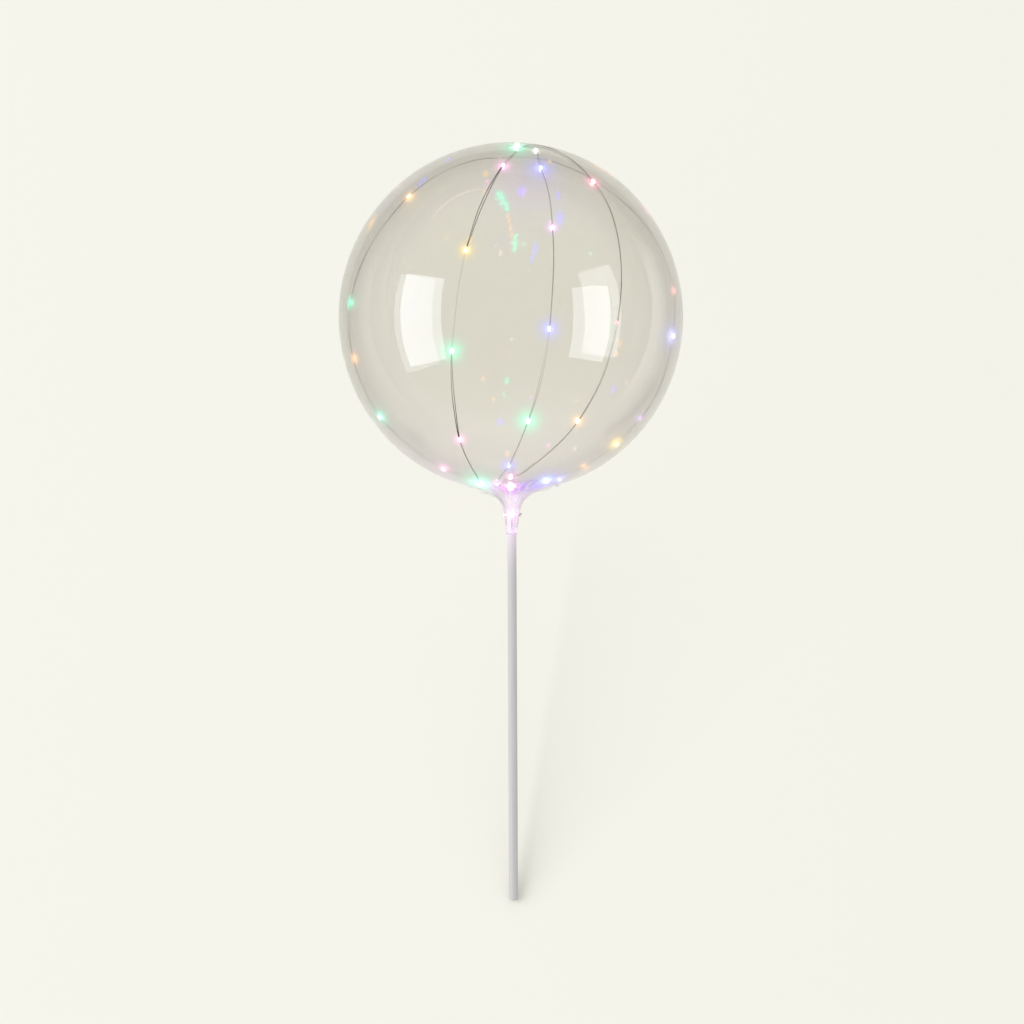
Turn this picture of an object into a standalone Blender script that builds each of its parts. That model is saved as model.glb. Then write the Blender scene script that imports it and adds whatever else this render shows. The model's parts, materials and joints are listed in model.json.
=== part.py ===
# Clear bubble balloon on a stick, wound with a string of coloured lights.
# It lies loose: the ball rests on a small flat spot and the stick's far end touches the ground.
# Everything is modelled upright, with the ball's centre at the origin, the stick down -Z and the
# front at -Y. The rig empty then lays it down, so that the front looks up.
# Metres, +Z up. Angles are degrees until a function turns them into radians.

import math

import bpy
from mathutils import Matrix, Vector

# ball and its neck
BALL_R = 0.1670          # the inflated ball, at its widest
HALF_HEIGHT = 0.1695     # the ball is a little taller than wide
BALL_SEGMENTS = 48       # facets round the ball
BALL_RINGS = 22          # facets down the ball
FLAT_DEPTH = 0.0017      # how far its own weight flattens the spot it rests on
FLARE_LAT = -70.0        # where the ball's curve turns into the neck
FLARE_PULL = 0.035       # how far the neck keeps the ball's slope
FLARE_STEPS = 10
WAIST_R = 0.0070         # narrowest place of the neck
WAIST_DROP = 0.1935      # distances called drop are measured down from the ball's centre
WAIST_PULL = 0.025
WAIST_LEAN = 0.1
TAIL_R = 0.0051          # end of the gathered film, on the stick
TAIL_DROP = 0.2107
TAIL_STEPS = 3

# stick
STICK_R = 0.0044
STICK_TOP = 0.190        # drop of its upper end, inside the neck
STICK_TIP = 0.566        # drop of its lower end
STICK_SIDES = 24
STICK_EDGE = 0.0005      # rounded rim

GAP = 0.0003             # left between pieces that touch

# tie round the neck
TIE_DROP = 0.1922
TIE_CORD_R = 0.00045
TIE_PITCH = 0.0011
TIE_TURNS = 2
TIE_STEPS = 16           # points in a turn
TIE_TAIL = 0.0026        # loose end
TIE_START = 70.0         # side where both ends are, turned from the front towards the right

# light string
WIRE_R = 0.00045
WIRE_LIFT = 0.0011       # from the film to the middle of the wire
LIGHT_LIFT = 0.0018      # the same at a light
BEND_LIFT = 0.0023       # at the lights on the neck, where the wire bends round it
CROSS_LIFT = 0.0026      # where one run passes over another
TIE_LIFT = 0.0036        # where the first light lies on the tie
WIRE_STEP = 0.0205       # longest straight piece on the ball
NECK_STEP = 0.0080       # longest straight piece on the neck
FINE_STEPS = 24          # samples between two points of the route
BEAD_R = 0.0015
BEAD_LENGTH = 0.0050
BEAD_FLAT = 0.0026       # length of its full-width middle
BEAD_BORE_R = 0.0008
BEAD_SIDES = 8
BEAD_MARGIN = 0.0010     # straight wire left beyond each end of a bead

# ground block that cuts the flat spot
CUTTER_SIDE = 0.10
CUTTER_DEPTH = 0.02

FILM = (0.80, 0.78, 0.72)
STICK_GREY = (0.80, 0.79, 0.78)
TIE_GREY = (0.55, 0.53, 0.52)
WIRE_GREY = (0.38, 0.36, 0.34)
LIGHT_COLOURS = {
    "green": (0.25, 0.95, 0.55),
    "pink": (1.00, 0.35, 0.70),
    "blue": (0.28, 0.28, 1.00),
    "violet": (0.60, 0.32, 1.00),
    "yellow": (1.00, 0.70, 0.10),
    "orange": (1.00, 0.42, 0.14),
    "red": (1.00, 0.22, 0.26),
    "white": (1.00, 0.86, 0.74),
}


def ball_outline(angle):
    """Radius and height on the ball's outline, at an angle in radians above its widest ring."""
    return Vector((BALL_R * math.cos(angle), HALF_HEIGHT * math.sin(angle)))


def flare_outline():
    """Radius and drop from the ball's last ring to the waist, as one cubic curve."""
    angle = math.radians(FLARE_LAT)
    edge = ball_outline(angle)
    start = Vector((edge.x, -edge.y))
    slope = Vector((BALL_R * math.sin(angle), HALF_HEIGHT * math.cos(angle))).normalized()
    end = Vector((WAIST_R, WAIST_DROP))
    first = start + FLARE_PULL * slope
    second = end + WAIST_PULL * Vector((WAIST_LEAN, -1.0))
    points = []
    for i in range(FLARE_STEPS + 1):
        t = i / FLARE_STEPS
        points.append((1 - t) ** 3 * start + 3 * (1 - t) ** 2 * t * first
                      + 3 * (1 - t) * t * t * second + t ** 3 * end)
    return points


def tail_outline():
    """Radius and drop from the waist to the end of the gathered film."""
    points = []
    for i in range(1, TAIL_STEPS + 1):
        t = i / TAIL_STEPS
        radius = TAIL_R + (WAIST_R - TAIL_R) * (1 - t) ** 2
        points.append(Vector((radius, WAIST_DROP + (TAIL_DROP - WAIST_DROP) * t)))
    return points


def neck_surface(drop):
    """Film below the ball's last ring: its radius at a drop, and its outward direction there."""
    outline = flare_outline() + tail_outline()
    for upper, lower in zip(outline, outline[1:]):
        if drop <= lower.y:
            slope = (lower.x - upper.x) / (lower.y - upper.y)
            return upper.x + slope * (drop - upper.y), Vector((1.0, -slope)).normalized()
    return TAIL_R, Vector((1.0, 0.0))


def around(angle):
    """Level direction at an angle from the front, positive towards the right."""
    turn = math.radians(angle)
    return Vector((math.sin(turn), -math.cos(turn), 0.0))


def on_ball(lat, lon, light=None, lift=None):
    """A point of the string's route on the ball, with the colour of the light there."""
    if lift is None:
        lift = LIGHT_LIFT if light else WIRE_LIFT
    tilt = math.radians(lat)
    point = (BALL_R + lift) * math.cos(tilt) * around(lon)
    point.z = (HALF_HEIGHT + lift) * math.sin(tilt)
    return point, light, lift


def on_neck(drop, lon, light=None, lift=None):
    """A point of the string's route on the neck, with the colour of the light there."""
    if lift is None:
        lift = BEND_LIFT if light else WIRE_LIFT
    radius, outward = neck_surface(drop)
    point = (radius + lift * outward.x) * around(lon)
    point.z = -(drop + lift * outward.y)
    return point, light, lift


def onto_ball(point, lift):
    """The point moved in or out until it is at the lift over the ball."""
    share = math.hypot(math.hypot(point.x, point.y) / (BALL_R + lift),
                       point.z / (HALF_HEIGHT + lift))
    return point / share


# The string from its first light, at the tie, to its last, at the crown.
ROUTE = [
    on_neck(0.2055, 0),
    on_neck(0.1990, 0, lift=0.0020),
    on_neck(0.1912, 0, "pink", TIE_LIFT),
    on_neck(0.1845, -10, lift=0.0020),
    on_neck(0.1780, -38),
    on_neck(0.1735, -76),
    on_neck(0.1695, -108),
    on_neck(0.1645, -128),
    # up the left side, behind
    on_ball(-65.0, -134),
    on_ball(-59.4, -128.9, "pink"),
    on_ball(-49.5, -121.9),
    on_ball(-41.5, -117),
    on_ball(-34.2, -112.5, "green"),
    on_ball(-24, -111),
    on_ball(-13.1, -109.9, "orange"),
    on_ball(-4, -109.3),
    on_ball(5.5, -110.8, "green"),
    on_ball(15, -112.6),
    on_ball(27, -116.3),
    on_ball(36.2, -120),
    on_ball(44.7, -123.9, "orange"),
    on_ball(51.5, -127.6),
    on_ball(57.5, -133),
    on_ball(62.5, -141.5),
    # over the top, behind the crown
    on_ball(65.8, -152),
    on_ball(67.2, -163),
    on_ball(66.9, -171.1, "orange"),
    on_ball(68.0, 174.5),
    on_ball(67.2, 160.5),
    on_ball(64.4, 147.8, "yellow"),
    # down the right side, behind
    on_ball(61, 139),
    on_ball(56.5, 131.3),
    on_ball(48.5, 123.8),
    on_ball(41, 117.6),
    on_ball(33, 112.5),
    on_ball(24.2, 108.6),
    on_ball(16.4, 106.8),
    on_ball(8.9, 105.9, "red"),
    on_ball(1.5, 107),
    on_ball(-6.1, 109, "blue"),
    on_ball(-16, 109.6),
    on_ball(-26, 109.4),
    on_ball(-35.3, 113, "violet"),
    on_ball(-40.5, 115.3),
    on_ball(-46.3, 118, "yellow"),
    on_ball(-52.5, 121.5),
    on_ball(-58.2, 127.2, "orange"),
    on_ball(-62.9, 127),
    on_ball(-66.6, 124),
    # round the neck to the front
    on_neck(0.1612, 112),
    on_neck(0.1640, 89),
    on_neck(0.1620, 62),
    on_ball(-69.5, 34.5, "blue"),
    on_ball(-68.8, 14),
    on_neck(0.1600, 0),
    on_ball(-68.9, -7),
    on_ball(-66, -0.8, "pink"),
    # up the right of the front
    on_ball(-63, 7.9),
    on_ball(-58.2, 12.9),
    on_ball(-49, 21.3),
    on_ball(-43.8, 25),
    on_ball(-36.9, 28.2, "orange"),
    on_ball(-29.2, 31.3),
    on_ball(-21.4, 33.6),
    on_ball(-13.5, 35.3),
    on_ball(-3, 37.1, "red"),
    on_ball(4.3, 38.6),
    on_ball(12, 40.1),
    on_ball(28.3, 43.2),
    on_ball(36.5, 44.8),
    on_ball(43.3, 45.8),
    on_ball(48.4, 45.3, "red"),
    on_ball(55, 46.9),
    on_ball(63.9, 48.2),
    on_ball(68.3, 48.8),
    # over the crown
    on_ball(71.9, 47.9),
    on_ball(74.7, 43.5),
    on_ball(75.9, 33.2),
    on_ball(74.9, 22.9),
    on_ball(72, 12.9),
    on_ball(68.2, 5.6),
    on_ball(63.3, 0.5),
    # down the front, on the left
    on_ball(56.8, -4.2, "pink"),
    on_ball(51.9, -7),
    on_ball(42.8, -10.4),
    on_ball(35.1, -12.6),
    on_ball(26.6, -14.4),
    on_ball(20.8, -15.6, "yellow"),
    on_ball(8.5, -17.4),
    on_ball(-1.6, -18.5),
    on_ball(-12.1, -20, "green"),
    on_ball(-20, -21),
    on_ball(-33.4, -22.5),
    on_ball(-44.5, -24.3, "pink"),
    on_ball(-54.7, -25.7),
    on_ball(-61.1, -26.9),
    on_ball(-65.9, -28.6),
    on_neck(0.1608, -35.4, "green"),
    # round the neck, over the first run and behind
    on_neck(0.1652, -56),
    on_neck(0.1683, -84, lift=0.0018),
    on_neck(0.1690, -112, lift=CROSS_LIFT),
    on_neck(0.1684, -142),
    on_neck(0.1660, -178),
    on_neck(0.1622, 155),
    on_ball(-68.2, 131.7, "blue"),
    on_neck(0.1634, 118),
    on_neck(0.1668, 92),
    on_neck(0.1680, 63),
    on_neck(0.1680, 37),
    on_neck(0.1665, 14),
    on_neck(0.1641, -1.5, "pink"),
    on_neck(0.1605, -14.9, "pink"),
    # up the middle of the front to the crown
    on_ball(-66.7, -10),
    on_ball(-63, -6),
    on_ball(-58.2, -1.7, "blue"),
    on_ball(-51.8, 1.6),
    on_ball(-44.9, 4.3),
    on_ball(-36.8, 6.8, "green"),
    on_ball(-27.8, 9.2),
    on_ball(-15.3, 11.4),
    on_ball(-5.1, 12.6, "blue"),
    on_ball(6.6, 13.7),
    on_ball(17, 14.8),
    on_ball(28.6, 15.7, "violet"),
    on_ball(36, 16.6),
    on_ball(43, 17.3),
    on_ball(49.8, 17.7),
    on_ball(55.5, 17.8, "blue"),
    on_ball(61.8, 20.2),
    on_ball(68.9, 24.2, "white"),
    on_ball(71.6, 16, lift=CROSS_LIFT),
    on_ball(73.1, 7.6, "green", CROSS_LIFT),
    on_ball(73.5, -5),
]


def smooth_route():
    """Points along one smooth curve through the route, and a place for each light.

    A light sits in the middle of a short straight piece, so that its bead has a straight bore.
    """
    points = [point for point, light, lift in ROUTE]
    before = 2 * points[0] - points[1]
    after = 2 * points[-1] - points[-2]
    padded = [before] + points + [after]
    fine = []
    marks = []
    for i, (point, light, lift) in enumerate(ROUTE[:-1]):
        if light:
            marks.append((len(fine), light))
        next_lift = ROUTE[i + 1][2]
        for j in range(FINE_STEPS):
            t = j / FINE_STEPS
            p = curve_point(padded[i:i + 4], t)
            if not below_ball(p):
                p = onto_ball(p, lift + (next_lift - lift) * t)
            fine.append(p)
    fine.append(points[-1])
    return fine, marks


def below_ball(point):
    """True where the neck has begun."""
    return point.z < ball_outline(math.radians(FLARE_LAT)).y


def curve_point(four, t):
    """A point between the middle two of four points, on a Catmull-Rom curve."""
    a, b, c, d = four
    return 0.5 * (2 * b + (c - a) * t + (2 * a - 5 * b + 4 * c - d) * t * t
                  + (3 * b - a - 3 * c + d) * t ** 3)


def point_at(fine, lengths, distance):
    """The point a distance along the fine curve."""
    for i in range(1, len(fine)):
        if distance <= lengths[i]:
            share = (distance - lengths[i - 1]) / (lengths[i] - lengths[i - 1])
            return fine[i - 1].lerp(fine[i], share)
    return fine[-1].copy()


def lay_string():
    """The wire's points, and each light's place, direction and colour."""
    fine, marks = smooth_route()
    lengths = [0.0]
    for upper, lower in zip(fine, fine[1:]):
        lengths.append(lengths[-1] + (lower - upper).length)
    half = BEAD_LENGTH / 2 + BEAD_MARGIN
    wire = []
    lights = []
    reached = 0.0
    stops = [(lengths[index], light) for index, light in marks]
    for distance, light in stops + [(lengths[-1] + half, None)]:
        near = distance - half
        middle = point_at(fine, lengths, (reached + near) / 2)
        step = NECK_STEP if below_ball(middle) else WIRE_STEP
        count = max(1, math.ceil((near - reached) / step))
        for i in range(count):
            wire.append(point_at(fine, lengths, reached + (near - reached) * i / count))
        if light:
            start = point_at(fine, lengths, near)
            end = point_at(fine, lengths, distance + half)
            wire.append(start)
            lights.append(((start + end) / 2, (end - start).normalized(), light))
            reached = distance + half
    wire.append(fine[-1])
    return wire, lights, lengths[-1]


def resting_height(angle):
    """Height of the ball's centre over the ground, when the stick slopes by the angle."""
    support = math.hypot(BALL_R * math.cos(angle), HALF_HEIGHT * math.sin(angle))
    return support - FLAT_DEPTH


def lying_angle():
    """Slope of the stick when the ball's flat spot and the stick's far rim are both on the ground."""
    rim = STICK_R * math.cos(math.pi / STICK_SIDES)
    reach = STICK_TIP - STICK_EDGE
    angle = 0.0
    for repeat in range(8):
        height = resting_height(angle)
        angle = math.asin(height / math.hypot(reach, rim)) - math.atan2(rim, reach)
    return angle


def material(name, colour, roughness, metallic=0.0, alpha=1.0, glow=0.0):
    made = bpy.data.materials.new(name)
    made.use_nodes = True
    shader = made.node_tree.nodes["Principled BSDF"]
    shader.inputs["Base Color"].default_value = (*colour, 1.0)
    shader.inputs["Roughness"].default_value = roughness
    shader.inputs["Metallic"].default_value = metallic
    shader.inputs["Alpha"].default_value = alpha
    if glow:
        shader.inputs["Emission Color"].default_value = (*colour, 1.0)
        shader.inputs["Emission Strength"].default_value = glow
    return made


def clear_scene():
    for old in list(bpy.data.objects):
        bpy.data.objects.remove(old, do_unlink=True)


def new_collection(name):
    made = bpy.data.collections.new(name)
    bpy.context.scene.collection.children.link(made)
    return made


def place(made, collection, rig, surface=None):
    for other in list(made.users_collection):
        other.objects.unlink(made)
    collection.objects.link(made)
    made.parent = rig
    if surface:
        made.data.materials.clear()
        made.data.materials.append(surface)
    return made


def outline_object(name, outline, closed=False):
    """An object holding a profile in the XZ plane, to be turned about Z."""
    mesh = bpy.data.meshes.new(name)
    edges = [(i, i + 1) for i in range(len(outline) - 1)]
    if closed:
        edges.append((len(outline) - 1, 0))
    mesh.from_pydata([(radius, 0.0, height) for radius, height in outline], edges, [])
    made = bpy.data.objects.new(name, mesh)
    bpy.context.scene.collection.objects.link(made)
    return made


def turn(made, sides):
    screw = made.modifiers.new("turned", "SCREW")
    screw.axis = "Z"
    screw.steps = sides
    screw.render_steps = sides
    screw.use_merge_vertices = True
    screw.merge_threshold = 0.00001
    screw.use_smooth_shade = True
    return screw


def build_balloon(parts, cutters, rig):
    """Ball, neck and gathered tail in one, with a blind socket that the stick is pushed into."""
    outline = []
    for i in range(BALL_RINGS):
        angle = math.radians(90.0 + (FLARE_LAT - 90.0) * i / BALL_RINGS)
        outline.append(tuple(ball_outline(angle)))
    outline[0] = (0.0, HALF_HEIGHT)
    outline += [(p.x, -p.y) for p in flare_outline() + tail_outline()]
    socket_r = STICK_R + GAP
    socket_top = -(STICK_TOP - GAP)
    outline += [(socket_r, -TAIL_DROP), (socket_r, socket_top), (0.0, socket_top)]
    balloon = outline_object("balloon", outline)
    turn(balloon, BALL_SEGMENTS)
    place(balloon, parts, rig, material("clear film", FILM, 0.05, alpha=0.35))

    # the ground, which cuts the flat spot
    bpy.ops.mesh.primitive_cube_add(size=1.0)
    ground = bpy.context.active_object
    ground.name = "flat_spot_cutter"
    ground.data.transform(Matrix.Diagonal((CUTTER_SIDE, CUTTER_SIDE, CUTTER_DEPTH, 1.0)))
    ground.data.transform(Matrix.Translation((0.0, 0.0, -CUTTER_DEPTH / 2)))
    place(ground, cutters, None)
    ground.hide_render = True
    ground.display_type = "WIRE"
    cut = balloon.modifiers.new("flat spot", "BOOLEAN")
    cut.operation = "DIFFERENCE"
    cut.solver = "EXACT"
    cut.object = ground
    return balloon, ground


def build_stick(parts, rig):
    """Plain round rod. A facet of it, not a corner, faces the ground."""
    bpy.ops.mesh.primitive_cylinder_add(vertices=STICK_SIDES, radius=STICK_R,
                                        depth=STICK_TIP - STICK_TOP)
    stick = bpy.context.active_object
    stick.name = "stick"
    stick.data.transform(Matrix.Rotation(math.pi / STICK_SIDES, 4, "Z"))
    stick.location.z = -(STICK_TIP + STICK_TOP) / 2
    rim = stick.modifiers.new("rounded rim", "BEVEL")
    rim.width = STICK_EDGE
    rim.segments = 1
    rim.limit_method = "ANGLE"
    rim.angle_limit = math.radians(60.0)
    stick.data.shade_smooth()
    stick.data.set_sharp_from_angle(angle=math.radians(40.0))
    return place(stick, parts, rig, material("stick plastic", STICK_GREY, 0.35))


def tube(name, points, radius, parts, rig, surface):
    """A round wire through the points, with closed ends."""
    curve = bpy.data.curves.new(name, "CURVE")
    curve.dimensions = "3D"
    curve.bevel_depth = radius
    curve.bevel_resolution = 2
    curve.use_fill_caps = True
    spline = curve.splines.new("POLY")
    spline.points.add(len(points) - 1)
    for knot, point in zip(spline.points, points):
        knot.co = (*point, 1.0)
    made = bpy.data.objects.new(name, curve)
    parts.objects.link(made)
    made.parent = rig
    curve.materials.append(surface)
    return made


def build_tie(parts, rig):
    """Two turns of thin cord round the neck, with its ends on the right."""
    top_r = neck_surface(TIE_DROP - TIE_PITCH * TIE_TURNS / 2 - TIE_CORD_R)[0]
    ring_r = (top_r + GAP + TIE_CORD_R) / math.cos(math.pi / TIE_STEPS)
    points = []
    for i in range(TIE_TURNS * TIE_STEPS + 1):
        share = i / TIE_STEPS
        point = ring_r * around(TIE_START + 360.0 * share)
        point.z = -TIE_DROP + TIE_PITCH * (share - TIE_TURNS / 2)
        points.append(point)
    for end, neighbour in ((0, 1), (-1, -2)):
        away = (points[end] - points[neighbour]).normalized()
        loose = points[end] + TIE_TAIL * (away + 0.5 * around(TIE_START)).normalized()
        if end == 0:
            points.insert(0, loose)
        else:
            points.append(loose)
    return tube("neck_tie", points, TIE_CORD_R, parts, rig, material("tie cord", TIE_GREY, 0.5))


def build_lights(parts, rig):
    """One long wire and its lights, each a drop of resin threaded on the wire."""
    wire, lights, length = lay_string()
    tube("light_wire", wire, WIRE_R, parts, rig, material("wire", WIRE_GREY, 0.4, metallic=1.0))
    outline = [
        (BEAD_BORE_R, BEAD_LENGTH / 2),
        (BEAD_R, BEAD_FLAT / 2),
        (BEAD_R, -BEAD_FLAT / 2),
        (BEAD_BORE_R, -BEAD_LENGTH / 2),
    ]
    surfaces = {}
    for name, colour in LIGHT_COLOURS.items():
        surfaces[name] = material("light " + name, colour, 0.2, glow=2.0)
    for number, (point, direction, light) in enumerate(lights, start=1):
        bead = outline_object("led_%02d" % number, outline, closed=True)
        turn(bead, BEAD_SIDES)
        bead.rotation_mode = "QUATERNION"
        bead.rotation_quaternion = direction.to_track_quat("Z", "X")
        bead.location = point
        place(bead, parts, rig, surfaces[light])
    print("string %.3f m long, %d lights" % (length, len(lights)))


def extent(parts):
    """Lowest and highest corner of all the parts, in the world."""
    bpy.context.view_layer.update()
    graph = bpy.context.evaluated_depsgraph_get()
    corners = []
    for made in parts.objects:
        if made.type not in {"MESH", "CURVE"}:
            continue
        seen = made.evaluated_get(graph)
        mesh = bpy.data.meshes.new_from_object(seen)
        corners += [seen.matrix_world @ vertex.co for vertex in mesh.vertices]
        bpy.data.meshes.remove(mesh)
    low = Vector([min(corner[i] for corner in corners) for i in range(3)])
    high = Vector([max(corner[i] for corner in corners) for i in range(3)])
    return low, high


def main():
    clear_scene()
    parts = new_collection("bubble_balloon")
    cutters = new_collection("cutters")
    rig = bpy.data.objects.new("rig", None)
    parts.objects.link(rig)
    # laid down: the stick's direction +Z turns to +Y, and rises by the lying angle
    slope = lying_angle()
    rig.rotation_euler.x = -(math.pi / 2 - slope)
    rig.location.z = resting_height(slope)

    balloon, ground = build_balloon(parts, cutters, rig)
    build_stick(parts, rig)
    build_tie(parts, rig)
    build_lights(parts, rig)

    # the origin is under the middle of the whole
    low, high = extent(parts)
    middle = (low + high) / 2
    rig.location.x = -middle.x
    rig.location.y = -middle.y
    ground.location = (rig.location.x, rig.location.y, 0.0)
    bpy.context.view_layer.update()


main()
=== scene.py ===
import json
import math

import bpy
from mathutils import Matrix, Vector


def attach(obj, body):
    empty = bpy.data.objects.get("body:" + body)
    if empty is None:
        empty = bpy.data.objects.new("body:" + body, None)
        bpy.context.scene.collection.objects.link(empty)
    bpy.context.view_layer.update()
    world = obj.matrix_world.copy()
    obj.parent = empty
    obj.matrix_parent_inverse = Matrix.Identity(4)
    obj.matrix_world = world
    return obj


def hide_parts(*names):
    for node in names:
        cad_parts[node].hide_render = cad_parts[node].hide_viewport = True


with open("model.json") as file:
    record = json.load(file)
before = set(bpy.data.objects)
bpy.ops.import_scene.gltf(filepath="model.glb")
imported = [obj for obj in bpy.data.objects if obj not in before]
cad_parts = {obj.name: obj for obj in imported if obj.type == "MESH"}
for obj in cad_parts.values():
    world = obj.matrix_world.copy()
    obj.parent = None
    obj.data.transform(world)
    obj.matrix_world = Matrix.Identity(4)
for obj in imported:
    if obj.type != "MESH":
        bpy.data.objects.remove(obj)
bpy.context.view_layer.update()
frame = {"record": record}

# Every piece is made upright, with the ball's centre at the origin, the stick down -Z and the
# front at -Y, and its points are laid down when it is done. Metres. A drop is a distance down from
# the ball's centre.

# form of the ball and neck, which every piece follows
ball = {
    "radius": 0.1670,
    "halfHeight": 0.1695,
    "flareLatitude": -70.0,    # where the ball turns into the neck
    "flarePull": 0.035,
    "waistRadius": 0.0070,
    "waistDrop": 0.1935,
    "waistPull": 0.025,
    "waistLean": 0.1,
    "tailRadius": 0.0051,
    "tailDrop": 0.2107,
    "flareRings": 34,
    "tailRings": 10,
}
tipDrop = 0.566                # far end of the stick

# where the whole lies
tipMount = next(m for m in frame["record"]["mounts"] if m["name"] == "stick_end")
down = Vector(tipMount["axis"]).normalized()
ballCentre = Vector(tipMount["pos_m"]) - down * tipDrop
slope = math.asin(-down.z)
lay = Matrix.Translation(ballCentre) @ Matrix.Rotation(slope - math.pi / 2, 4, "X")


def ride(made, slot, *nodes):
    # lays an upright piece down, by its points so that its own box stays square to the frame, and
    # ties it to the frame
    made.data.transform(lay)
    made.data.update()
    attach(made, "root")
    if nodes:
        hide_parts(*nodes)
    return made


def meshObject(name, points, faces, surface, smooth=True):
    mesh = bpy.data.meshes.new(name)
    mesh.from_pydata(points, [], faces)
    mesh.validate()
    mesh.update()
    if smooth:
        mesh.polygons.foreach_set("use_smooth", [True] * len(mesh.polygons))
    mesh.materials.append(surface)
    made = bpy.data.objects.new(name, mesh)
    bpy.context.scene.collection.objects.link(made)
    return made


# materials


class Value:
    # a shader socket that works in plain arithmetic

    def __init__(self, tree, socket):
        self.tree = tree
        self.socket = socket

    def node(self, kind, settings=None, inputs=None, output=0):
        made = self.tree.nodes.new(kind)
        for name, setting in (settings or {}).items():
            if name == "stops":
                fillRamp(made.color_ramp, setting)
            else:
                setattr(made, name, setting)
        for name, given in (inputs or {}).items():
            socket = made.inputs[name]
            if isinstance(given, Value):
                self.tree.links.new(given.socket, socket)
            elif given is not None:
                socket.default_value = given
        return Value(self.tree, made.outputs[output])

    def math(self, operation, first, second=None):
        return self.node("ShaderNodeMath", {"operation": operation}, {0: first, 1: second})

    def __add__(self, other):
        return self.math("ADD", self, other)

    def __radd__(self, other):
        return self.math("ADD", other, self)

    def __sub__(self, other):
        return self.math("SUBTRACT", self, other)

    def __rsub__(self, other):
        return self.math("SUBTRACT", other, self)

    def __mul__(self, other):
        return self.math("MULTIPLY", self, other)

    def __rmul__(self, other):
        return self.math("MULTIPLY", other, self)

    def __truediv__(self, other):
        return self.math("DIVIDE", self, other)

    def __rtruediv__(self, other):
        return self.math("DIVIDE", other, self)

    def smallest(self, other):
        return self.math("MINIMUM", self, other)

    def between(self, low, high):
        # 0 at low, 1 at high, smooth
        return self.node("ShaderNodeMapRange", {"interpolation_type": "SMOOTHSTEP"},
                         {"Value": self, "From Min": low, "From Max": high})

    def vector(self, operation, other, scale=None):
        inputs = {0: self, 1: other}
        if scale is not None:
            inputs = {0: self, "Scale": scale}
        output = 1 if operation in ("LENGTH", "DISTANCE", "DOT_PRODUCT") else 0
        return self.node("ShaderNodeVectorMath", {"operation": operation}, inputs, output)

    def mixed(self, first, second, blend="MIX"):
        # self is the share of the second colour
        return self.node("ShaderNodeMix", {"data_type": "RGBA", "blend_type": blend},
                         {"Factor": self, 6: first, 7: second}, 2)

    def noise(self, scale, detail=2.0, roughness=0.5):
        return self.node("ShaderNodeTexNoise", None,
                         {"Vector": self, "Scale": scale, "Detail": detail,
                          "Roughness": roughness})

    def bump(self, strength, distance):
        return self.node("ShaderNodeBump", None,
                         {"Height": self, "Strength": strength, "Distance": distance})


def fillRamp(ramp, stops):
    while len(ramp.elements) > len(stops):
        ramp.elements.remove(ramp.elements[-1])
    while len(ramp.elements) < len(stops):
        ramp.elements.new(1.0)
    for element, (place, colour) in zip(ramp.elements, stops):
        element.position = place
        element.color = rgba(colour)


def rgba(colour):
    return (*colour, 1.0)


def newMaterial(name, **plain):
    # a Principled material with its plain values; gives the material, a way to link, and the place
    made = bpy.data.materials.new(name)
    made.use_nodes = True
    tree = made.node_tree
    shader = tree.nodes["Principled BSDF"]
    for socket, value in plain.items():
        shader.inputs[socket.replace("_", " ")].default_value = value
    # the place on the upright balloon, from where it lies
    lying = Value(tree, None).node("ShaderNodeTexCoord", output="Object")
    lying = lying.vector("SUBTRACT", tuple(ballCentre))
    place = lying.node("ShaderNodeVectorRotate", {"rotation_type": "X_AXIS"},
                       {"Vector": lying, "Angle": math.pi / 2 - slope})

    def feed(socket, value):
        tree.links.new(value.socket, shader.inputs[socket])

    return made, feed, place


# outline of the film


def ballPoint(angle):
    return Vector((ball["radius"] * math.cos(angle), ball["halfHeight"] * math.sin(angle)))


def flareOutline(steps):
    # radius and drop from the ball's last ring to the waist
    angle = math.radians(ball["flareLatitude"])
    edge = ballPoint(angle)
    start = Vector((edge.x, -edge.y))
    lean = Vector((ball["radius"] * math.sin(angle),
                   ball["halfHeight"] * math.cos(angle))).normalized()
    end = Vector((ball["waistRadius"], ball["waistDrop"]))
    first = start + ball["flarePull"] * lean
    second = end + ball["waistPull"] * Vector((ball["waistLean"], -1.0))
    points = []
    for i in range(steps + 1):
        t = i / steps
        points.append((1 - t) ** 3 * start + 3 * (1 - t) ** 2 * t * first
                      + 3 * (1 - t) * t * t * second + t ** 3 * end)
    return points


def tailOutline(steps):
    points = []
    for i in range(1, steps + 1):
        t = i / steps
        radius = ball["tailRadius"] + (ball["waistRadius"] - ball["tailRadius"]) * (1 - t) ** 2
        points.append(Vector((radius, ball["waistDrop"]
                              + (ball["tailDrop"] - ball["waistDrop"]) * t)))
    return points


neckOutline = flareOutline(ball["flareRings"]) + tailOutline(ball["tailRings"])


def neckSurface(drop):
    # radius of the film below the ball, and its outward direction
    for upper, lower in zip(neckOutline, neckOutline[1:]):
        if drop <= lower.y:
            lean = (lower.x - upper.x) / (lower.y - upper.y)
            return upper.x + lean * (drop - upper.y), Vector((1.0, -lean)).normalized()
    return ball["tailRadius"], Vector((1.0, 0.0))


def around(angle):
    turn = math.radians(angle)
    return Vector((math.sin(turn), -math.cos(turn), 0.0))


# string of lights

string = {
    "lift": 0.0011,          # from the film to the middle of the wire
    "lightLift": 0.0018,
    "bendLift": 0.0023,
    "crossLift": 0.0026,
    "tieLift": 0.0036,
    "step": 0.0030,
    "samples": 24,           # between two points of the route
    "reach": 6,              # samples to each side that give a light its direction
}


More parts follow.
